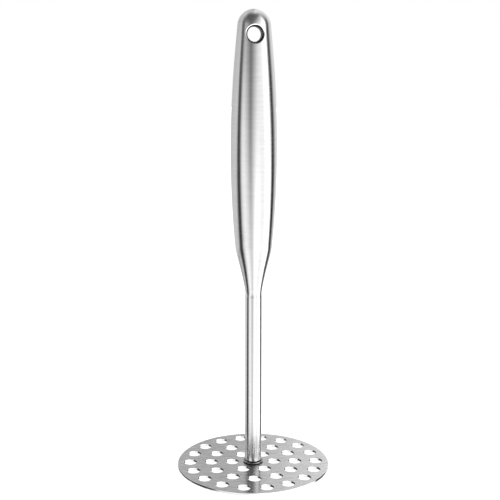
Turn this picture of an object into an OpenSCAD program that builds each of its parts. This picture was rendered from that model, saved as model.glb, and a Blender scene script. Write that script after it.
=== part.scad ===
// Hand potato masher: perforated round plate on a straight shaft, with a hollow grip.
// Millimetres. +Z runs up the shaft, the underside of the plate is z = 0,
// and the hanging hole runs along Y.

/* [Masher plate] */
// Diameter of the perforated plate
plate_d = 85; // [76:1:110]
// Sheet thickness of the plate
plate_t = 1.2; // [0.8:0.1:2.5]
// Small break on both rims of the plate
plate_edge = 0.2; // [0.1:0.05:0.3]
// Diameter of each perforation
hole_d = 7.4; // [4:0.1:7.6]
// Radial spacing of the perforation rings, as a share of the plate radius
ring_share = 0.2785; // [0.26:0.0005:0.285]
// Number of perforation rings (6 holes in the first, 12 in the next, 18 in the third)
rings = 3; // [1:1:3]
// Turn of the hole pattern about the shaft, degrees
plate_turn = -1.6; // [-15:0.1:15]

/* [Shaft] */
// Outside diameter of the shaft tube
shaft_d = 9.3; // [8.6:0.1:9.8]
// Wall of the shaft tube
shaft_wall = 1.5; // [1:0.1:1.8]
// Diameter of the turned-down spigot that enters the grip
spigot_d = 8; // [7.6:0.1:8]
// Length of the spigot above the neck weld
spigot_l = 10; // [6:1:20]
// Outside diameter of the rolled ring at the foot of the shaft
foot_ring_d = 11.1; // [11:0.1:14]
// Height of the rolled ring at the foot of the shaft
foot_ring_h = 1.25; // [0.8:0.05:1.3]

/* [Grip] */
// Height of the neck seam above the underside of the plate
seam_z = 102.4; // [80:0.2:140]
// Length of the grip from the neck seam to the tip of the dome
grip_l = 148.8; // [120:0.2:180]
// Largest diameter of the grip
grip_d = 24.9; // [22:0.1:32]
// Diameter of the grip at the neck seam
neck_d = 9.8; // [9.8:0.1:12]
// Sheet thickness of the grip
grip_wall = 0.9; // [0.6:0.05:0.9]
// Height of the domed end
dome_h = 8; // [6:0.5:9]
// Height of the ground neck weld below the seam
weld_h = 5.6; // [4:0.1:8]
// Depth of the slight waist left by grinding the weld
weld_waist = 0.14; // [0:0.02:0.2]

/* [Hanging hole] */
// Distance of the hole's axis below the tip of the dome
hang_drop = 12.95; // [11:0.05:20]
// Bore of the ferrule through the grip
hang_bore_d = 7.9; // [7:0.1:8.6]
// Mouth of the ferrule where it meets the grip
hang_mouth_d = 9.2; // [9.1:0.1:9.6]
// Outside diameter of the ferrule
ferrule_d = 10.2; // [10.2:0.1:11.2]

/* [Hidden] */

fine = 96;
plate_r = plate_d / 2;
pitch = plate_r * ring_share;
shaft_r = shaft_d / 2;
weld_low = seam_z - weld_h;
tip_z = seam_z + grip_l;
hang_z = tip_z - hang_drop;
dome_z = tip_z - dome_h;
steel = [0.78, 0.79, 0.80];
steel_dark = [0.66, 0.67, 0.68];

// Shape of the grip: [share of the grip's length above the seam,
// share of the way from the neck's diameter to the largest diameter].
// A funnel out of the neck, a long swell under the palm, a slow taper to the dome.
SWELL = [
    [0.000, 0.000], [0.035, 0.140], [0.065, 0.277], [0.095, 0.428],
    [0.125, 0.575], [0.150, 0.672], [0.180, 0.726], [0.240, 0.822],
    [0.330, 0.925], [0.420, 0.985], [0.505, 1.000], [0.605, 0.972],
    [0.690, 0.903], [0.780, 0.800], [0.860, 0.672], [0.950, 0.510], [1.000, 0.415]];

// Index of the span of table t that holds x
function span(t, x, i = 0) = (i >= len(t) - 2 || x < t[i + 1][0]) ? i : span(t, x, i + 1);
// Slope of table t at its point i
function slope(t, i) =
    i == 0 ? (t[1][1] - t[0][1]) / (t[1][0] - t[0][0]) :
    i == len(t) - 1 ? (t[i][1] - t[i - 1][1]) / (t[i][0] - t[i - 1][0]) :
    (t[i + 1][1] - t[i - 1][1]) / (t[i + 1][0] - t[i - 1][0]);
// Smooth curve through table t at x, on span i of width h, at share s
function cubic(t, i, h, s) =
    t[i][1] * (2 * s * s * s - 3 * s * s + 1) + slope(t, i) * h * (s * s * s - 2 * s * s + s)
    + t[i + 1][1] * (3 * s * s - 2 * s * s * s) + slope(t, i + 1) * h * (s * s * s - s * s);
function smooth_at(t, x) =
    let (i = span(t, x), h = t[i + 1][0] - t[i][0]) cubic(t, i, h, (x - t[i][0]) / h);

// Radius of the grip's side at height u above the seam, dome left out
function side_r(u) = (neck_d + (grip_d - neck_d) * smooth_at(SWELL, u / grip_l)) / 2;
// Falling-off of the dome: 1 at its foot, 0 at its tip (s runs from 0 to 1)
dome_pow = 2.1;
function dome(s) = pow(max(0, 1 - pow(s, dome_pow)), 1 / dome_pow);

side_steps = 54;
dome_steps = 14;
// Outline of the grip, shrunk inwards by w, from the neck to the tip
function grip_outline(w) = concat(
    [for (k = [0 : side_steps - 1])
        let (u = (grip_l - dome_h) * k / side_steps) [side_r(u) - w, seam_z + u]],
    [for (k = [0 : dome_steps])
        let (s = sin(90 * k / dome_steps), u = grip_l - dome_h + (dome_h - w) * s)
        [(side_r(u) - w) * dome(s), seam_z + u]]);

module grip_solid(w = 0) {
    rotate_extrude($fn = fine)
        polygon(concat([[0, seam_z]], grip_outline(w)));
}

module hang_axis(d, l = 60) {
    translate([0, 0, hang_z]) rotate([90, 0, 0]) cylinder(d = d, h = l, center = true, $fn = fine);
}

// Flared mouth at one end of the hanging bore; side is +1 or -1
module hang_mouth(side) {
    mouth_y = side_r(hang_z - seam_z);
    flare = 1.4;
    translate([0, side * mouth_y, hang_z]) rotate([side * 90, 0, 0])
        translate([0, 0, -1.2])
            cylinder(d1 = hang_mouth_d + 1.2 * (hang_mouth_d - hang_bore_d) / flare,
                     d2 = hang_bore_d, h = flare + 1.2, $fn = fine);
}

// Round sheet with 6, 12 and 18 punched holes on three rings
module masher_plate() {
    color(steel)
    difference() {
        rotate_extrude($fn = fine)
            polygon([[0, 0], [plate_r - plate_edge, 0], [plate_r, plate_edge],
                     [plate_r, plate_t - plate_edge], [plate_r - plate_edge, plate_t], [0, plate_t]]);
        for (ring = [1 : rings], k = [0 : 6 * ring - 1])
            rotate([0, 0, plate_turn + 360 * k / (6 * ring)])
                translate([pitch * ring, 0, -1])
                    cylinder(d = hole_d, h = plate_t + 2, $fn = fine);
    }
}

// Rolled ring that covers the joint between the shaft and the plate
module foot_ring() {
    lip = foot_ring_h / 2;
    color(steel_dark)
    rotate_extrude($fn = fine)
        intersection() {
            union() {
                translate([foot_ring_d / 2 - lip, plate_t + lip]) circle(r = lip, $fn = 48);
                translate([shaft_r, plate_t]) square([foot_ring_d / 2 - lip - shaft_r, foot_ring_h]);
            }
            translate([shaft_r, plate_t]) square([foot_ring_d, foot_ring_h]);
        }
}

// Straight tube from the plate to the neck weld, with a spigot inside the grip
module shaft_tube() {
    color(steel)
    difference() {
        union() {
            translate([0, 0, plate_t]) cylinder(d = shaft_d, h = weld_low - plate_t, $fn = fine);
            translate([0, 0, plate_t]) cylinder(d = spigot_d, h = seam_z + spigot_l - plate_t, $fn = fine);
        }
        translate([0, 0, plate_t - 1])
            cylinder(d = shaft_d - 2 * shaft_wall, h = seam_z + spigot_l - plate_t + 2, $fn = fine);
    }
}

// Weld between shaft and grip, ground smooth with a slight waist
module neck_weld() {
    steps = 14;
    color(steel_dark)
    rotate_extrude($fn = fine)
        polygon(concat(
            [[spigot_d / 2, seam_z], [spigot_d / 2, weld_low]],
            [for (k = [0 : steps])
                let (s = k / steps,
                     blend = s < 0.3 ? 0 : pow((s - 0.3) / 0.7, 2))
                [shaft_r + (neck_d - shaft_d) / 2 * blend - weld_waist * sin(180 * pow(s, 0.8)),
                 weld_low + weld_h * s]]));
}

// Hollow grip, closed by a dome at the top and open at the neck
module grip_shell() {
    color(steel)
    difference() {
        grip_solid();
        difference() {
            grip_solid(grip_wall);
            translate([0, 0, seam_z - 1]) cylinder(d = 40, h = 1, $fn = fine);
        }
        translate([0, 0, seam_z - 1]) cylinder(d = spigot_d, h = 3, $fn = fine);
        hang_axis(ferrule_d);
    }
}

// Tube through the grip's end, trimmed flush with it, that forms the hanging hole
module hanging_ferrule() {
    color(steel_dark)
    difference() {
        intersection() {
            grip_solid();
            hang_axis(ferrule_d);
        }
        hang_axis(hang_bore_d);
        hang_mouth(1);
        hang_mouth(-1);
    }
}

masher_plate();
foot_ring();
shaft_tube();
neck_weld();
grip_shell();
hanging_ferrule();
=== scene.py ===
import bpy, math
import numpy as np
from mathutils import Matrix, Vector
from mathutils.geometry import delaunay_2d_cdt


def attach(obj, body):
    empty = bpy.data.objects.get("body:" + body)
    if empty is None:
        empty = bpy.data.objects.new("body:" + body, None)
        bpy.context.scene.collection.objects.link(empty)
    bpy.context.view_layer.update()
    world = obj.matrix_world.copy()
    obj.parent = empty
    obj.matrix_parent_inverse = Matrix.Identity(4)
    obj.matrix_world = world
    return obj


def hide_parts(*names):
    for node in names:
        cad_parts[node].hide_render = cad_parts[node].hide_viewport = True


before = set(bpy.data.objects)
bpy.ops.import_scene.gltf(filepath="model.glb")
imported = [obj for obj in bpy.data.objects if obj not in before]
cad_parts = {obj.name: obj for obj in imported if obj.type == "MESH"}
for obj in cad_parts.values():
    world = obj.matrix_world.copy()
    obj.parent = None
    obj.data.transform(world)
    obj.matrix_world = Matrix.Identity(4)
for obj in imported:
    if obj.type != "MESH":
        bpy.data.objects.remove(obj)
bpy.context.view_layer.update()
scene = bpy.context.scene
MM = 0.001

# ---------------------------------------------------------------- sizes (mm), as in the CAD source
PLATE_R, PLATE_T, HOLE_R = 42.5, 1.2, 3.7
PITCH, PLATE_TURN = 42.5 * 0.2785, -1.6
SHAFT_R, SPIGOT_R, SHAFT_WALL, SPIGOT_L = 4.65, 4.0, 1.5, 10.0
RING_R, RING_H = 5.55, 1.25
SEAM, GRIP_L, GRIP_D, NECK_D, WALL, DOME_H, DOME_POW = 102.4, 148.8, 24.9, 9.8, 0.9, 8.0, 2.1
WELD_H, WAIST = 5.6, 0.14
TIP = SEAM + GRIP_L
HANG_Z, BORE_R, MOUTH_R, FERRULE_R = TIP - 12.95, 3.95, 4.55, 5.1
DOME_Z = TIP - DOME_H
WELD_LOW = SEAM - WELD_H

SWELL = [(0.000, 0.000), (0.035, 0.140), (0.065, 0.277), (0.095, 0.428), (0.125, 0.575),
         (0.150, 0.672), (0.180, 0.726), (0.240, 0.822), (0.330, 0.925), (0.420, 0.985),
         (0.505, 1.000), (0.605, 0.972), (0.690, 0.903), (0.780, 0.800), (0.860, 0.672),
         (0.950, 0.510), (1.000, 0.415)]


def smooth_at(t, x):
    i = 0
    while i < len(t) - 2 and x >= t[i + 1][0]:
        i += 1

    def slope(k):
        a, b = max(k - 1, 0), min(k + 1, len(t) - 1)
        return (t[b][1] - t[a][1]) / (t[b][0] - t[a][0])

    h = t[i + 1][0] - t[i][0]
    s = (x - t[i][0]) / h
    return (t[i][1] * (2 * s**3 - 3 * s * s + 1) + slope(i) * h * (s**3 - 2 * s * s + s)
            + t[i + 1][1] * (3 * s * s - 2 * s**3) + slope(i + 1) * h * (s**3 - s * s))


def side_r(z):
    return (NECK_D + (GRIP_D - NECK_D) * smooth_at(SWELL, (z - SEAM) / GRIP_L)) / 2


def grip_r(z, w=0.0):
    """Radius of the grip's outside, or of its inside when w is the wall."""
    s = (z - DOME_Z) / (DOME_H - w)
    r = side_r(z) - w
    if s > 0:
        r *= max(0.0, 1 - min(s, 1.0) ** DOME_POW) ** (1 / DOME_POW)
    return max(r, 0.0)


# ---------------------------------------------------------------- mesh helpers
def make(name, verts, faces, node, mats, normals=None, uvs=None, face_mat=None, sharp=None):
    """A piece from points in mm, riding on the root body and standing for a CAD node."""
    me = bpy.data.meshes.new(name)
    me.from_pydata([(x * MM, y * MM, z * MM) for x, y, z in verts], [], faces)
    me.validate()
    me.update()
    for p in me.polygons:
        p.use_smooth = True
    for m in mats:
        me.materials.append(m)
    if face_mat is not None:
        me.polygons.foreach_set("material_index", np.array(face_mat, np.int32))
    if uvs is not None:
        layer = me.uv_layers.new(name="UVMap")
        loops = np.zeros(len(me.loops), np.int32)
        me.loops.foreach_get("vertex_index", loops)
        layer.data.foreach_set("uv", np.array(uvs, np.float32)[loops].ravel())
    if sharp is not None:
        me.set_sharp_from_angle(angle=math.radians(sharp))
    if normals is not None:
        me.normals_split_custom_set_from_vertices([tuple(n) for n in normals])
    ob = bpy.data.objects.new(name, me)
    scene.collection.objects.link(ob)
    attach(ob, "root")
    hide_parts(node)
    return ob


def lathe(name, profile, steps, node, mats, sharp=35, seg_mat=None):
    """Turns a closed profile of (radius, z) points, counter-clockwise, about Z."""
    n = len(profile)
    verts, faces, fm, uvs = [], [], [], []
    for i in range(steps):
        a = 2 * math.pi * i / steps
        for r, z in profile:
            verts.append((r * math.cos(a), r * math.sin(a), z))
            uvs.append((a * 0.01, z * 0.001))
    for i in range(steps):
        j = (i + 1) % steps
        for k in range(n):
            l = (k + 1) % n
            faces.append((i * n + k, j * n + k, j * n + l, i * n + l))
            fm.append(seg_mat(profile[k], profile[l]) if seg_mat else 0)
    return make(name, verts, faces, node, mats, uvs=uvs, face_mat=fm, sharp=sharp)


def arc(cx, cz, r, a0, a1, n):
    return [(cx + r * math.cos(math.radians(a0 + (a1 - a0) * k / n)),
             cz + r * math.sin(math.radians(a0 + (a1 - a0) * k / n))) for k in range(n + 1)]


# ---------------------------------------------------------------- materials
class Nodes:
    def __init__(self, tree):
        self.t = tree

    def new(self, kind, **values):
        n = self.t.nodes.new(kind)
        for k, v in values.items():
            if hasattr(n, k) and k not in ("inputs",):
                setattr(n, k, v)
        return n

    def link(self, a, b):
        self.t.links.new(a, b)

    def put(self, socket, v):
        if isinstance(v, bpy.types.NodeSocket):
            self.t.links.new(v, socket)
        else:
            socket.default_value = v

    def math(self, op, a, b=None, c=None, clamp=False):
        n = self.t.nodes.new("ShaderNodeMath")
        n.operation = op
        n.use_clamp = clamp
        for s, v in zip(n.inputs, (a, b, c)):
            if v is not None:
                self.put(s, v)
        return n.outputs[0]

    def remap(self, v, a, b, c, d, smooth=False):
        n = self.t.nodes.new("ShaderNodeMapRange")
        n.interpolation_type = "SMOOTHSTEP" if smooth else "LINEAR"
        n.clamp = True
        for s, x in zip(n.inputs, (v, a, b, c, d)):
            self.put(s, x)
        return n.outputs[0]

    def mapping(self, vec, scale=(1, 1, 1), loc=(0, 0, 0), rot=(0, 0, 0)):
        n = self.t.nodes.new("ShaderNodeMapping")
        self.put(n.inputs["Vector"], vec)
        n.inputs["Scale"].default_value = scale
        n.inputs["Location"].default_value = loc
        n.inputs["Rotation"].default_value = rot
        return n.outputs[0]

    def noise(self, vec, scale, detail=2.0, rough=0.5, distortion=0.0):
        n = self.t.nodes.new("ShaderNodeTexNoise")
        self.put(n.inputs["Vector"], vec)
        n.inputs["Scale"].default_value = scale
        n.inputs["Detail"].default_value = detail
        n.inputs["Roughness"].default_value = rough
        n.inputs["Distortion"].default_value = distortion
        return n.outputs["Fac"]

    def mix_rgb(self, fac, a, b):
        n = self.t.nodes.new("ShaderNodeMix")
        n.data_type = "RGBA"
        self.put(n.inputs[0], fac)
        self.put(n.inputs[6], a)
        self.put(n.inputs[7], b)
        return n.outputs[2]


def steel(name, light, dark, rough, aniso, around="Z", grain="around", bump=0.0, spread=(0.85, 1.2),
          grain_scale=1.0, wear=0.5, mottle=0.0):
    """Stainless steel with a direction of polish.
    grain: 'around' for a turned piece polished on a belt, 'x' for sheet brushed along X."""
    m = bpy.data.materials.new(name)
    m.use_nodes = True
    t = m.node_tree
    t.nodes.clear()
    N = Nodes(t)
    out = t.nodes.new("ShaderNodeOutputMaterial")
    b = t.nodes.new("ShaderNodeBsdfPrincipled")
    N.link(b.outputs[0], out.inputs[0])
    b.inputs["Metallic"].default_value = 1.0
    b.inputs["Anisotropic"].default_value = aniso
    obj = t.nodes.new("ShaderNodeTexCoord").outputs["Object"]
    g = grain_scale
    if grain == "around":
        # long scratches that run round the piece, short across
        fine = N.noise(N.mapping(obj, (60 * g, 60 * g, 9000 * g)), 1.0, 3.0, 0.6)
        mid = N.noise(N.mapping(obj, (35 * g, 35 * g, 2200 * g), (3, 5, 7)), 1.0, 2.0, 0.5)
        tan = t.nodes.new("ShaderNodeTangent")
        tan.direction_type = "RADIAL"
        tan.axis = around
        N.link(tan.outputs[0], b.inputs["Tangent"])
        b.inputs["Anisotropic Rotation"].default_value = 0.25
    else:
        fine = N.noise(N.mapping(obj, (70 * g, 7000 * g, 300 * g)), 1.0, 3.0, 0.6)
        mid = N.noise(N.mapping(obj, (45 * g, 1700 * g, 200 * g), (2, 9, 4)), 1.0, 2.0, 0.5)
        tan = t.nodes.new("ShaderNodeTangent")
        tan.direction_type = "UV_MAP"
        tan.uv_map = "UVMap"
        N.link(tan.outputs[0], b.inputs["Tangent"])
        b.inputs["Anisotropic Rotation"].default_value = 0.25
    broad = N.noise(obj, 45.0, 3.0, 0.55)
    smudge = N.noise(N.mapping(obj, (1, 1, 0.6), (11, 3, 5)), 110.0, 4.0, 0.6, 0.6)
    # hairline marks from use: thin, sparse, in a few directions
    hair_src = N.noise(N.mapping(obj, (700, 260, 420), (1, 2, 3), (0.5, 0.9, 0.3)), 1.0, 1.0, 0.5, 1.5)
    hair = N.remap(N.math("ABSOLUTE", N.math("SUBTRACT", hair_src, 0.5)), 0.0, 0.006, 1.0, 0.0)
    patchy = N.remap(N.noise(obj, 30.0, 1.0), 0.55, 0.7, 0.0, 1.0, True)
    hair = N.math("MULTIPLY", hair, N.math("MULTIPLY", patchy, wear))
    tone = N.math("ADD", N.math("MULTIPLY", fine, 0.55), N.math("MULTIPLY", mid, 0.45))
    if mottle:
        if grain == "around":
            cloud = N.noise(N.mapping(obj, (160, 160, 900), (6, 1, 8)), 1.0, 3.0, 0.65)
        else:
            cloud = N.noise(N.mapping(obj, (190, 1150, 300), (6, 1, 8)), 1.0, 4.0, 0.7)
        tone = N.math("ADD", N.math("MULTIPLY", tone, 1 - mottle), N.math("MULTIPLY", cloud, mottle))
    shade = N.remap(tone, 0.3, 0.7, 0.0, 1.0)
    col = N.mix_rgb(shade, (*dark, 1), (*light, 1))
    N.link(col, b.inputs["Base Color"])
    lo, hi = spread
    r = N.remap(N.math("ADD", N.math("MULTIPLY", tone, 0.6),
                       N.math("ADD", N.math("MULTIPLY", broad, 0.25), N.math("MULTIPLY", smudge, 0.15))),
                0.35, 0.65, rough * lo, rough * hi)
    r = N.math("ADD", r, N.math("MULTIPLY", hair, 0.12))
    N.link(r, b.inputs["Roughness"])
    if bump > 0:
        bp = t.nodes.new("ShaderNodeBump")
        bp.inputs["Strength"].default_value = 1.0
        bp.inputs["Distance"].default_value = bump * MM
        h = N.math("SUBTRACT", N.math("ADD", fine, N.math("MULTIPLY", mid, 0.6)), N.math("MULTIPLY", hair, 1.5))
        N.link(h, bp.inputs["Height"])
        N.link(bp.outputs[0], b.inputs["Normal"])
    return m


GRIP_MAT = steel("grip_steel", (0.76, 0.76, 0.76), (0.63, 0.63, 0.63), 0.195, 0.92, bump=0.0005, mottle=0.4)
SHAFT_MAT = steel("shaft_steel", (0.76, 0.76, 0.76), (0.65, 0.65, 0.65), 0.165, 0.96, bump=0.0004, mottle=0.3)
WELD_MAT = steel("weld_steel", (0.74, 0.74, 0.74), (0.66, 0.66, 0.66), 0.165, 0.9, bump=0.0004, mottle=0.3)
# painted shade: the foot ring is the same steel as the shaft, but its colour is darkened to stand in for the shade
# round the shaft's foot
RING_SHADE_MAT = steel("ring_steel", (0.40, 0.40, 0.40), (0.28, 0.28, 0.28), 0.18, 0.0, bump=0.0)
# painted shade: near-black steel laid in the crevices where the shaft meets the foot ring and under the ring's lip
CREVICE_SHADE_MAT = steel("crevice_painted_shade", (0.04, 0.04, 0.04), (0.02, 0.02, 0.02), 0.45, 0.0, bump=0.0)
PLATE_MAT = steel("plate_steel", (0.84, 0.84, 0.84), (0.46, 0.46, 0.46), 0.25, 0.97, grain="x", bump=0.0010, mottle=0.7)
EDGE_MAT = steel("plate_edge_steel", (0.76, 0.76, 0.76), (0.70, 0.70, 0.70), 0.075, 0.0, bump=0.0)
RIM_MAT = steel("ferrule_rim_steel", (0.84, 0.84, 0.84), (0.78, 0.78, 0.78), 0.11, 0.0, around="Y", bump=0.0)
# painted shade: near-black steel for the inside of the hanging tube, standing in for the shade in the bore
BORE_SHADE_MAT = steel("ferrule_bore_painted_shade", (0.04, 0.04, 0.04), (0.02, 0.02, 0.02), 0.50, 0.0, around="Y", bump=0.0)

# ---------------------------------------------------------------- grip shell
NTH = 192
HALF_COLS = 27
ROWS = 24
RINGS = 9
HALF_Z = 7.5


def skin(w):
    """Points, normals and faces of the grip's outside (w = 0) or inside (w = wall),
    as a grid with a round hole at the front and the back."""
    tip = TIP - w
    verts, norms, uvs, faces = [], [], [], []

    def rad(z):
        r = grip_r(z, w)
        return max(r, SPIGOT_R) if w and z < SEAM + 2.0 else r

    def add(theta, z):
        r = rad(z)
        e = 0.02
        z0, z1 = max(z - e, SEAM), min(z + e, tip - 1e-4)
        d = (grip_r(z1, w) - grip_r(z0, w)) / (z1 - z0)
        n = np.array([math.cos(theta), math.sin(theta), -d])
        n /= np.linalg.norm(n)
        verts.append((r * math.cos(theta), r * math.sin(theta), z))
        norms.append(n if not w else -n)
        uvs.append((theta * 0.0115, z * MM))
        return len(verts) - 1

    lo_z, hi_z = HANG_Z - HALF_Z, HANG_Z + HALF_Z
    levels = list(np.linspace(SEAM, SEAM + 30, 61)) + list(np.linspace(SEAM + 30, lo_z, 80))[1:]
    patch0 = len(levels) - 1
    levels += list(np.linspace(lo_z, hi_z, ROWS + 1))[1:]
    patch1 = len(levels) - 1
    top = tip - hi_z
    levels += [hi_z + top * math.sin(math.pi / 2 * k / 16) for k in range(1, 16)]
    # the last 0.05 mm up to the tip is a fan
    theta = [2 * math.pi * i / NTH - math.pi / 2 for i in range(NTH)]  # column 0 faces -Y

    def in_hole(i):
        """Column i (to i + 1) is inside the front or the back patch."""
        a = i if i < NTH / 2 + HALF_COLS + 1 and i > HALF_COLS else None
        f = i < HALF_COLS or i >= NTH - HALF_COLS
        b = NTH // 2 - HALF_COLS <= i < NTH // 2 + HALF_COLS
        return f or b

    def col_inside(i):
        """Column line i lies strictly inside a patch."""
        k = (i + HALF_COLS) % NTH
        f = 0 < k < 2 * HALF_COLS
        k = (i - NTH // 2 + HALF_COLS) % NTH
        b = 0 < k < 2 * HALF_COLS
        return f or b

    grid = {}
    for j, z in enumerate(levels):
        for i in range(NTH):
            if patch0 < j < patch1 and col_inside(i):
                continue
            grid[i, j] = add(theta[i], z)
    pole = len(verts)
    verts.append((0, 0, tip))
    norms.append(np.array([0, 0, 1.0 if not w else -1.0]))
    uvs.append((0, tip * MM))
    for j in range(len(levels) - 1):
        for i in range(NTH):
            if patch0 <= j < patch1 and in_hole(i):
                continue
            k = (i + 1) % NTH
            faces.append((grid[i, j], grid[k, j], grid[k, j + 1], grid[i, j + 1]))
    last = len(levels) - 1
    for i in range(NTH):
        faces.append((grid[i, last], grid[(i + 1) % NTH, last], pole))
    loops = []
    for centre in (0, NTH // 2):
        # boundary of the patch, counter-clockwise seen from outside
        c0, c1 = centre - HALF_COLS, centre + HALF_COLS
        edge = [(c, patch0) for c in range(c0, c1)]
        edge += [(c1, j) for j in range(patch0, patch1)]
        edge += [(c, patch1) for c in range(c1, c0, -1)]
        edge += [(c0, j) for j in range(patch1, patch0, -1)]
        outer = [grid[c % NTH, j] for c, j in edge]
        rel = [((c - centre) * 2 * math.pi / NTH, levels[j] - HANG_Z) for c, j in edge]
        ang = [math.atan2(dz, rad(HANG_Z + dz) * math.sin(dt)) for dt, dz in rel]
        base = theta[centre]
        rings = []
        for k in range(RINGS):
            f = (k / RINGS) ** 1.25
            ring = []
            for (dt, dz), a in zip(rel, ang):
                z_c = FERRULE_R * math.sin(a)
                t_c = math.asin(FERRULE_R * math.cos(a) / rad(HANG_Z + z_c))
                ring.append(add(base + t_c + (dt - t_c) * f, HANG_Z + z_c + (dz - z_c) * f))
            rings.append(ring)
        rings.append(outer)
        n = len(outer)
        for k in range(RINGS):
            for p in range(n):
                q = (p + 1) % n
                faces.append((rings[k][p], rings[k + 1][p], rings[k + 1][q], rings[k][q]))
        loops.append(rings[0])
    neck = [grid[i, 0] for i in range(NTH)]
    return verts, norms, uvs, faces, neck, loops


def build_grip():
    v0, n0, u0, f0, neck0, loops0 = skin(0.0)
    v1, n1, u1, f1, neck1, loops1 = skin(WALL)
    k = len(v0)
    verts, norms, uvs = v0 + v1, n0 + n1, u0 + u1
    faces = list(f0) + [tuple(reversed([a + k for a in f])) for f in f1]

    def bridge(la, lb, flip, normal_of):
        # separate copies of the two loops, so that the edge stays crisp
        a = []
        for src in (la, lb):
            ids = []
            for s in src:
                verts.append(verts[s])
                norms.append(normal_of(verts[s]))
                uvs.append(uvs[s])
                ids.append(len(verts) - 1)
            a.append(ids)
        n = len(la)
        for p in range(n):
            q = (p + 1) % n
            f = (a[0][p], a[1][p], a[1][q], a[0][q])
            faces.append(tuple(reversed(f)) if flip else f)

    bridge(neck0, [x + k for x in neck1], False, lambda p: np.array([0, 0, -1.0]))
    for la, lb in zip(loops0, loops1):
        def inward(p):
            d = np.array([-p[0], 0, HANG_Z - p[2]])
            return d / np.linalg.norm(d)
        bridge(la, [x + k for x in lb], True, inward)
    return make("grip_shell_skin", verts, faces, "grip_shell", [GRIP_MAT], normals=norms, uvs=uvs)


build_grip()


# ---------------------------------------------------------------- hanging ferrule
def build_ferrule():
    """Tube through the grip: a polished lip flush with the grip, a short flare, then the bore; the flare and bore carry
    painted shade.
    """
    def surf(x, dz):
        r = grip_r(HANG_Z + dz)
        return math.sqrt(max(r * r - x * x, 0))

    # (radius, depth below the grip's surface at that radius, share of the way to the flat throat)
    lip = [(FERRULE_R, 0.0), (FERRULE_R - 0.04, 0.01), (FERRULE_R - 0.09, 0.035), (FERRULE_R - 0.46, 0.33),
           (FERRULE_R - 0.52, 0.40), (MOUTH_R, 0.52)]
    flare = [(4.50, 0.70), (4.41, 0.95), (4.28, 1.2), (4.13, 1.45), (4.02, 1.7), (3.965, 1.95), (3.95, 2.2)]
    n = 160
    section = []
    for side in (-1, 1):
        part = []
        for rho, d in lip + flare:
            part.append(("s", rho, d, side))
        section.append(part)
    inner = [("y", BORE_R, y, 0) for y in np.linspace(-4.3, 4.3, 9)]
    outer = [("o", FERRULE_R, f, 0) for f in np.linspace(1, -1, 9)[1:-1]]
    loop = section[0] + inner + list(reversed(section[1])) + outer
    verts, faces, fm = [], [], []
    for i in range(n):
        a = 2 * math.pi * i / n
        for kind, rho, d, side in loop:
            x, dz = rho * math.cos(a), rho * math.sin(a)
            if kind == "s":
                # a point near the bore follows the level of the throat, not the grip's saddle
                own = surf(x, dz) - d
                flat = surf(0, 0) - 0.35 - d
                t = min(1.0, max(0.0, (MOUTH_R - rho) / 0.5))
                y = side * (own * (1 - t) + flat * t)
            elif kind == "y":
                y = d
            else:
                y = d * surf(x, dz)
            verts.append((x, y, HANG_Z + dz))
    m = len(loop)
    lip_n = len(lip)
    for i in range(n):
        j = (i + 1) % n
        for k in range(m):
            l = (k + 1) % m
            faces.append((i * m + k, j * m + k, j * m + l, i * m + l))
            first = k < lip_n - 1
            back = len(section[0]) + len(inner) + len(section[1])
            last = back - lip_n <= k < back - 1
            tube = k >= back - 1
            # the flare and bore get the near-black painted shade, the lip keeps the polished steel
            fm.append(0 if first or last or tube else 1)
    return make("hanging_ferrule_lip", verts, faces, "hanging_ferrule", [RIM_MAT, BORE_SHADE_MAT],
                face_mat=fm, sharp=50)


build_ferrule()

# ---------------------------------------------------------------- shaft, weld and foot ring
shaft_in = SHAFT_R - SHAFT_WALL
c = 0.12
shaft_profile = (
    [(shaft_in, PLATE_T), (SHAFT_R - c, PLATE_T)] + arc(SHAFT_R - c, PLATE_T + c, c, -90, 0, 4)[1:]
    + [(SHAFT_R, z) for z in [PLATE_T + 0.5, PLATE_T + RING_H + 0.02, PLATE_T + RING_H + 0.48]]
    + [(SHAFT_R, z) for z in np.linspace(PLATE_T + RING_H + 0.56, WELD_LOW - 0.02, 40)]
    + [(SHAFT_R - 0.02, WELD_LOW), (SPIGOT_R, WELD_LOW), (SPIGOT_R, WELD_LOW + 2), (SPIGOT_R, SEAM + SPIGOT_L - 0.3),
       (SPIGOT_R - 0.3, SEAM + SPIGOT_L), (shaft_in, SEAM + SPIGOT_L)])


def shaft_shade_band(p, q):
    """1 on the band of painted shade where the shaft enters the foot ring."""
    return 1 if (p[1] + q[1]) / 2 < PLATE_T + RING_H + 0.5 and min(p[0], q[0]) > SHAFT_R - 0.3 else 0


lathe("shaft_tube_skin", shaft_profile, 128, "shaft_tube", [SHAFT_MAT, CREVICE_SHADE_MAT], seg_mat=shaft_shade_band)

weld_out = []
for k in range(29):
    s = k / 28
    grow = 0 if s < 0.3 else ((s - 0.3) / 0.7) ** 2
    r = SHAFT_R + (NECK_D / 2 - SHAFT_R) * grow - 0.75 * WAIST * math.sin(math.pi * s**0.85) ** 2
    weld_out.append((r, WELD_LOW + WELD_H * s))
weld_out[-1] = (NECK_D / 2 - 0.05, SEAM)
weld_out.insert(-1, (NECK_D / 2 - 0.012, SEAM - 0.05))
weld_profile = [(SPIGOT_R, WELD_LOW)] + [(SHAFT_R - 0.02, WELD_LOW)] + weld_out[1:] + [(SPIGOT_R, SEAM)]
lathe("neck_weld_skin", weld_profile, 128, "neck_weld", [WELD_MAT])

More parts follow.
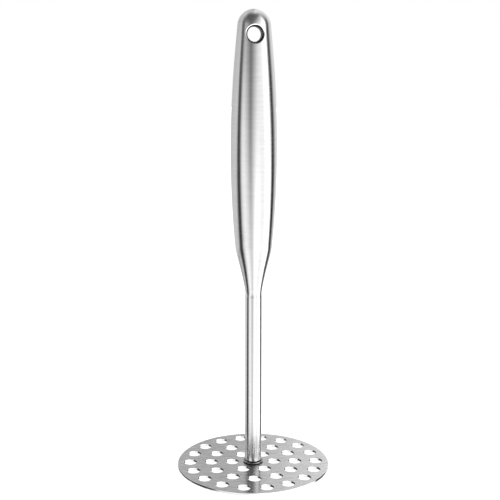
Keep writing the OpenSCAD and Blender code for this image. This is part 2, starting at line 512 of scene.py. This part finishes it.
lip = RING_H / 2
ring_c = RING_R - lip
ring_profile = ([(SHAFT_R, PLATE_T)] + arc(ring_c, PLATE_T + lip, lip, -90, 90, 24)
                + [(SHAFT_R + 0.30, PLATE_T + RING_H - 0.04), (SHAFT_R + 0.24, PLATE_T + RING_H - 0.20),
                   (SHAFT_R + 0.16, PLATE_T + RING_H - 0.5), (SHAFT_R, PLATE_T + RING_H - 0.6)])


def ring_crevice_shade(p, q):
    """1 for the painted shade in the crevice under the ring's lip and in the one against the shaft, 0 on the polished
    top.
    """
    r, z = (p[0] + q[0]) / 2, (p[1] + q[1]) / 2
    return 1 if z < PLATE_T + lip * 1.0 or r < SHAFT_R + 0.28 else 0


lathe("foot_ring_skin", ring_profile, 128, "foot_ring", [RING_SHADE_MAT, CREVICE_SHADE_MAT], seg_mat=ring_crevice_shade)


# ---------------------------------------------------------------- masher plate
def build_plate():
    edge, top_e, low_e = 0.2, 0.13, 0.06
    centres = []
    for ring in (1, 2, 3):
        for k in range(6 * ring):
            a = math.radians(PLATE_TURN + 360 * k / (6 * ring))
            centres.append((PITCH * ring * math.cos(a), PITCH * ring * math.sin(a)))
    n_out, n_hole = 288, 56
    verts, norms, faces, fmat = [], [], [], []

    def add(x, y, z, n):
        verts.append((x, y, z))
        norms.append(np.array(n, float) / np.linalg.norm(n))
        return len(verts) - 1

    def circle(cx, cy, r, z, n, normal):
        ids = []
        for i in range(n):
            a = 2 * math.pi * i / n
            ca, sa = math.cos(a), math.sin(a)
            ids.append(add(cx + r * ca, cy + r * sa, z, (normal[0] * ca, normal[0] * sa, normal[1])))
        return ids

    def join(lo, hi, flip):
        n = len(lo)
        for i in range(n):
            j = (i + 1) % n
            f = (lo[i], lo[j], hi[j], hi[i])
            faces.append(tuple(reversed(f)) if flip else f)
            fmat.append(1)

    def rim(cx, cy, n, steps, flip):
        """steps: (radius, z, normal out, normal up), from the bottom to the top"""
        rows = [circle(cx, cy, r, z, n, (a, b)) for r, z, a, b in steps]
        for lo, hi in zip(rows, rows[1:]):
            join(lo, hi, flip)
        return rows[0], rows[-1]

    def quarter(r_flat, z_flat, r_wall, z_wall, sign, up, k=5):
        """A quarter round from the flat face to the wall; sign is +1 when the wall faces outwards."""
        pts = []
        for i in range(k + 1):
            a = math.radians(90 * i / k)
            pts.append((r_flat + (r_wall - r_flat) * math.sin(a), z_wall + (z_flat - z_wall) * math.cos(a),
                        sign * math.sin(a), up * math.cos(a)))
        return pts

    out_steps = (quarter(PLATE_R - edge, 0, PLATE_R, edge, 1, -1)
                 + list(reversed(quarter(PLATE_R - edge, PLATE_T, PLATE_R, PLATE_T - edge, 1, 1))))
    out_lo, out_hi = rim(0, 0, n_out, out_steps, False)
    lo_loops, hi_loops = [out_lo], [out_hi]
    for cx, cy in centres:
        steps = (quarter(HOLE_R + low_e, 0, HOLE_R, low_e, -1, -1, 3)
                 + list(reversed(quarter(HOLE_R + top_e, PLATE_T, HOLE_R, PLATE_T - top_e, -1, 1, 5))))
        lo, hi = rim(cx, cy, n_hole, steps, True)
        lo_loops.append(lo)
        hi_loops.append(hi)
    for loops, up, hole_r in ((hi_loops, True, HOLE_R + top_e), (lo_loops, False, HOLE_R + low_e)):
        pts, ids, edges = [], [], []
        for loop in loops:
            s = len(pts)
            for v in loop:
                pts.append(Vector(verts[v][:2]))
                ids.append(v)
            edges += [(s + i, s + (i + 1) % len(loop)) for i in range(len(loop))]
        # a few inner points keep the triangles from being long and thin
        extra = []
        for r, k in ((3.0, 10), (6.6, 14), (17.7, 40), (29.5, 60), (40.6, 120)):
            for i in range(k):
                a = 2 * math.pi * (i + 0.5) / k
                x, y = r * math.cos(a), r * math.sin(a)
                if min(math.hypot(x - cx, y - cy) for cx, cy in centres) > hole_r + 0.5:
                    extra.append((x, y))
        z = PLATE_T if up else 0.0
        for x, y in extra:
            pts.append(Vector((x, y)))
            ids.append(add(x, y, z, (0, 0, 1 if up else -1)))
        got, _, tris, src, _, _ = delaunay_2d_cdt(pts, edges, [], 0, 1e-7)
        back = [s[0] if s else None for s in src]
        for tri in tris:
            if any(back[v] is None for v in tri):
                continue
            x = sum(got[v].x for v in tri) / 3
            y = sum(got[v].y for v in tri) / 3
            if math.hypot(x, y) > PLATE_R - edge:
                continue
            if min(math.hypot(x - cx, y - cy) for cx, cy in centres) < hole_r * 0.999:
                continue
            a, b, d = (ids[back[v]] for v in tri)
            area = ((verts[b][0] - verts[a][0]) * (verts[d][1] - verts[a][1])
                    - (verts[d][0] - verts[a][0]) * (verts[b][1] - verts[a][1]))
            f = (a, b, d) if area > 0 else (a, d, b)
            faces.append(f if up else tuple(reversed(f)))
            fmat.append(0)
    uvs = [(x * MM, y * MM) for x, y, z in verts]
    return make("masher_plate_sheet", verts, faces, "masher_plate", [PLATE_MAT, EDGE_MAT], normals=norms, uvs=uvs,
                face_mat=fmat)


build_plate()

# ---------------------------------------------------------------- camera
AZ = math.radians(3.8)      # the camera stands this far round to the left of the hanging hole's axis
DIST, HEIGHT = 535.9, 226.3 + 1.2
PITCH_A, YAW, ROLL = math.radians(11.0), math.radians(0.21), math.radians(0.10)
LENS = 1002.5 / 500 * 36
look = Vector((math.sin(AZ), math.cos(AZ), 0))
pos = -look * DIST * MM + Vector((0, 0, HEIGHT * MM))
right0 = Vector((look.y, -look.x, 0))
fwd_h = look * math.cos(YAW) - right0 * math.sin(YAW)
right_h = Vector((fwd_h.y, -fwd_h.x, 0))
fwd = fwd_h * math.cos(PITCH_A) - Vector((0, 0, 1)) * math.sin(PITCH_A)
up = right_h.cross(fwd)
right = right_h * math.cos(ROLL) + up * math.sin(ROLL)
up2 = -right_h * math.sin(ROLL) + up * math.cos(ROLL)
cam_data = bpy.data.cameras.new("camera")
cam_data.lens = LENS
cam_data.sensor_width = 36
cam_data.clip_start, cam_data.clip_end = 0.01, 50
cam = bpy.data.objects.new("camera", cam_data)
scene.collection.objects.link(cam)
cam.matrix_world = Matrix((
    (right.x, up2.x, -fwd.x, pos.x), (right.y, up2.y, -fwd.y, pos.y), (right.z, up2.z, -fwd.z, pos.z), (0, 0, 0, 1)))
scene.camera = cam

# ---------------------------------------------------------------- floor
floor_me = bpy.data.meshes.new("floor")
n = 96
floor_me.from_pydata([(4 * math.cos(2 * math.pi * i / n), 4 * math.sin(2 * math.pi * i / n), 0) for i in range(n)],
                     [], [tuple(range(n))])
floor = bpy.data.objects.new("floor", floor_me)
scene.collection.objects.link(floor)
floor.location.z = -0.00002
fm = bpy.data.materials.new("floor_white")
fm.use_nodes = True
fb = fm.node_tree.nodes["Principled BSDF"]
fb.inputs["Base Color"].default_value = (0.92, 0.92, 0.92, 1)
fb.inputs["Roughness"].default_value = 0.9
fb.inputs["Specular IOR Level"].default_value = 0.1
floor_me.materials.append(fm)
floor.visible_glossy = False

# ---------------------------------------------------------------- studio light
# A white surround with tall dark flags, written as brightness against bearing, at four heights.
# Bearing 0 points from the tool to the camera, + is to the camera's right; 180 is behind the tool.
LOW = [(-180, .56), (-160, .60), (-135, .60), (-112, .62), (-98, .56), (-92.5, .02), (-72.5, .02), (-66, .55), (-57, .88),
       (-44, 1.06), (-30, .86), (-18, .66), (-12, .68), (-4, .98), (5, 1.5), (24, 1.3), (31, .98), (45, .90), (56, 1.0),
       (64, 1.6), (82, 1.6), (90, .9), (94, .03), (111, .03), (116, .30), (130, .52), (145, .58), (160, .56), (180, .56)]
TABLE = [(-180, .60), (-160, .60), (-152, .03), (-60, .03), (-50, .70), (-30, .95), (-10, .95), (10, 1.3), (82, 1.6),
         (90, .9), (94, .03), (118, .03), (126, .50), (150, .62), (180, .60)]
MID = [(-180, .50), (-150, .46), (-130, .50), (-105, .58), (-90, .62), (-86.5, .06), (-73, .06), (-66, .56), (-56, .98),
       (-44, .80), (-30, .50), (-20, .18), (-12, .26), (-3, .57), (6, .68), (16, .90), (30, .93), (45, .89), (56, 1.0),
       (64, 1.5), (80, 1.5), (87, 1.0), (90, .60), (94, .0), (109, .0), (116, .26), (127, .60), (140, .66), (155, .58),
       (166, .52), (180, .50)]
HIGHER = [(-180, .47), (-178, .38), (-176, .46), (-173, .50), (-150, .48), (-130, .44), (-110, .50), (-95, .50), (-89, .16), (-71, .13), (-62, .26),
          (-50, .24), (-38, .16), (-25, .12), (-8, .16), (4, .29), (14, .47), (26, .68), (38, .88), (50, 1.05), (60, 1.4),
          (76, 1.5), (82, 1.0), (86, .40), (91, .04), (104, .06), (113, .3), (122, .6), (146, .70), (168, .86), (176, .80), (180, .47)]
TOP = [(-180, .46), (-177.5, .40), (-173, .54), (-150, .56), (-130, .58), (-108, .42), (-96, .28), (-84, .14), (-70, .08), (-28, .09), (0, .11), (14, .15),
       (24, .23), (35, .35), (45, .50), (55, .66), (68, .84), (78, .80), (88, .40), (96, .25), (108, .36), (120, .5),
       (140, .66), (158, .8), (176, .74), (180, .46)]
ZENITH = [(-180, .62), (-150, .50), (-120, .26), (-98, .09), (30, .08), (70, .11), (92, .16), (102, .30), (114, .50), (140, .66),
          (162, .85), (180, .62)]
GAIN = 1 / 0.70

world = bpy.data.worlds.new("studio")
scene.world = world
world.use_nodes = True
wt = world.node_tree
wt.nodes.clear()
W = Nodes(wt)
wout = wt.nodes.new("ShaderNodeOutputWorld")
gen = wt.nodes.new("ShaderNodeTexCoord").outputs["Generated"]
sep = wt.nodes.new("ShaderNodeSeparateXYZ")
W.link(gen, sep.inputs[0])
X, Y, Z = sep.outputs
side = W.math("SUBTRACT", W.math("MULTIPLY", X, look.y), W.math("MULTIPLY", Y, look.x))
toward = W.math("MULTIPLY", W.math("ADD", W.math("MULTIPLY", X, look.x), W.math("MULTIPLY", Y, look.y)), -1.0)
bearing = W.math("DEGREES", W.math("ARCTAN2", side, toward))
elev = W.math("DEGREES", W.math("ARCSINE", W.math("MINIMUM", W.math("MAXIMUM", Z, -1.0), 1.0)))
# the flags lean a little: their bearing changes with height
lean = W.math("ADD", W.math("MULTIPLY", bearing, 0.0055), 0.24)
el_c = W.math("MINIMUM", W.math("MAXIMUM", elev, -21.0), 12.0)
leaned = W.math("ADD", bearing, W.math("MULTIPLY", lean, el_c))


def ramp(stops, coord):
    """Brightness against bearing, as one colour ramp of up to 32 stops."""
    r = wt.nodes.new("ShaderNodeValToRGB")
    cr = r.color_ramp
    cr.interpolation = "LINEAR"
    while len(cr.elements) > 1:
        cr.elements.remove(cr.elements[0])
    first = True
    for a, v in stops:
        e = cr.elements[0] if first else cr.elements.new((a + 180) / 360)
        e.position = (a + 180) / 360
        e.color = (v, v, v, 1)
        first = False
    t = W.math("ADD", W.math("DIVIDE", coord, 360.0), 0.5)
    W.put(r.inputs[0], t)
    bw = wt.nodes.new("ShaderNodeRGBToBW")
    W.link(r.outputs[0], bw.inputs[0])
    return bw.outputs[0]


low, mid_, higher, top_ = ramp(LOW, leaned), ramp(MID, leaned), ramp(HIGHER, bearing), ramp(TOP, bearing)
zenith, table = ramp(ZENITH, bearing), ramp(TABLE, leaned)


def blend(a, b, f):
    return W.math("ADD", W.math("MULTIPLY", a, W.math("SUBTRACT", 1.0, f)), W.math("MULTIPLY", b, f))


v = blend(low, mid_, W.remap(elev, -20, -2, 0, 1))
v = blend(v, higher, W.remap(elev, 1, 11, 0, 1))
v = blend(v, top_, W.remap(elev, 18, 44, 0, 1))
v = blend(v, zenith, W.remap(elev, 50, 66, 0, 1))
# the dark edge of the shooting table, a thin band low in the surround
edge_on = W.math("MULTIPLY", W.remap(elev, -21.2, -22.2, 0, 1), W.remap(elev, -24.9, -25.8, 1, 0))
v = blend(v, table, edge_on)
bg_glossy = wt.nodes.new("ShaderNodeBackground")
bg_glossy.inputs["Color"].default_value = (1, 1, 1, 1)
W.link(W.math("MULTIPLY", v, GAIN), bg_glossy.inputs["Strength"])
bg_white = wt.nodes.new("ShaderNodeBackground")
bg_white.inputs["Color"].default_value = (1, 1, 1, 1)
bg_white.inputs["Strength"].default_value = 1.0
bg_fill = wt.nodes.new("ShaderNodeBackground")
bg_fill.inputs["Color"].default_value = (1, 1, 1, 1)
bg_fill.inputs["Strength"].default_value = 1.7
lp = wt.nodes.new("ShaderNodeLightPath")
m1 = wt.nodes.new("ShaderNodeMixShader")
W.link(lp.outputs["Is Diffuse Ray"], m1.inputs[0])
W.link(bg_glossy.outputs[0], m1.inputs[1])
W.link(bg_fill.outputs[0], m1.inputs[2])
m2 = wt.nodes.new("ShaderNodeMixShader")
W.link(lp.outputs["Is Camera Ray"], m2.inputs[0])
W.link(m1.outputs[0], m2.inputs[1])
W.link(bg_white.outputs[0], m2.inputs[2])
W.link(m2.outputs[0], wout.inputs[0])

scene.view_settings.view_transform = "Standard"
scene.view_settings.look = "None"
scene.view_settings.exposure = 0.0
scene.view_settings.gamma = 1.0
